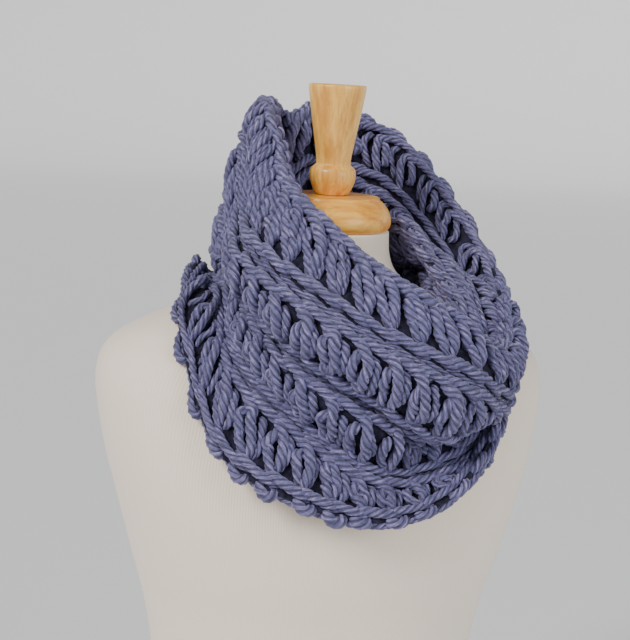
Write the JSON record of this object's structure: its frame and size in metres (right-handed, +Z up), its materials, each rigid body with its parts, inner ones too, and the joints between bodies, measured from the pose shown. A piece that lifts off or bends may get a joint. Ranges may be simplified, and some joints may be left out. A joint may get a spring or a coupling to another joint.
{
  "type": "infinity scarf on dress form",
  "caption": "Chunky crocheted infinity scarf wound twice round the neck of an armless jersey dress form with a turned wooden neck cap.",
  "frame": {"origin": "on the form's flat underside, below the neck's axis", "axes": "+Z up, -Y to the front of the form, +X to the form's left"},
  "size_m": [0.406, 0.3346, 0.7981],
  "materials": {
    "form_torso": "fine ribbed cream jersey over a smooth form",
    "neck_cap": "varnished honey-coloured hardwood",
    "finial": "varnished honey-coloured hardwood",
    "upper_wrap": "soft plied denim-blue yarn, crocheted",
    "lower_wrap": "soft plied denim-blue yarn, crocheted",
    "back_crossing_in": "soft plied denim-blue yarn, crocheted",
    "back_crossing_out": "soft plied denim-blue yarn, crocheted"
  },
  "bodies": {
    "root": {"form_torso": "form_torso", "neck_cap": "neck_cap", "finial": "finial", "upper_wrap": "upper_wrap", "lower_wrap": "lower_wrap", "back_crossing_in": "back_crossing_in", "back_crossing_out": "back_crossing_out"}
  },
  "joints": []
}
